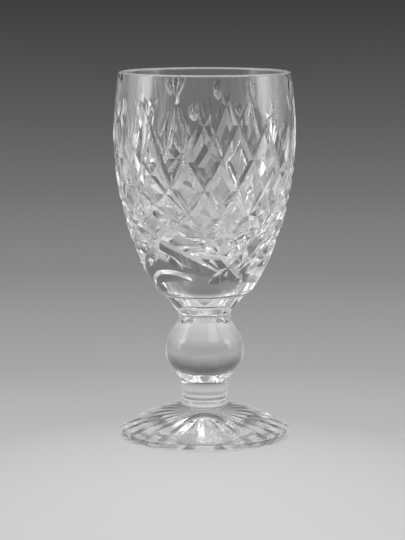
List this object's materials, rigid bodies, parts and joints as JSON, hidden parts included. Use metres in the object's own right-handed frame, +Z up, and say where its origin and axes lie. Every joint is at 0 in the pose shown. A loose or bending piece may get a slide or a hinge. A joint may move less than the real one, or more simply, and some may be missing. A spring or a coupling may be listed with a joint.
{
  "type": "sherry glass",
  "caption": "Stemmed sherry glass in clear cut crystal: a bowl cut with diamonds, sweeping mitres and fans, a ball stem and a star-cut foot.",
  "frame": {"origin": "middle of the resting plane under the foot", "axes": "+Z up along the axis of the glass, -Y towards the front, with a panel's middle 22 degrees to its right"},
  "size_m": [0.0536, 0.0536, 0.108],
  "materials": {
    "bowl_crystal": "cut and polished lead crystal",
    "collar_crystal": "fire-polished lead crystal",
    "knop_crystal": "fire-polished lead crystal",
    "post_crystal": "fire-polished lead crystal",
    "foot_crystal": "polished lead crystal, star-cut underneath"
  },
  "bodies": {
    "root": {"bowl": "bowl_crystal", "collar": "collar_crystal", "knop": "knop_crystal", "post": "post_crystal", "foot": "foot_crystal"}
  },
  "joints": []
}
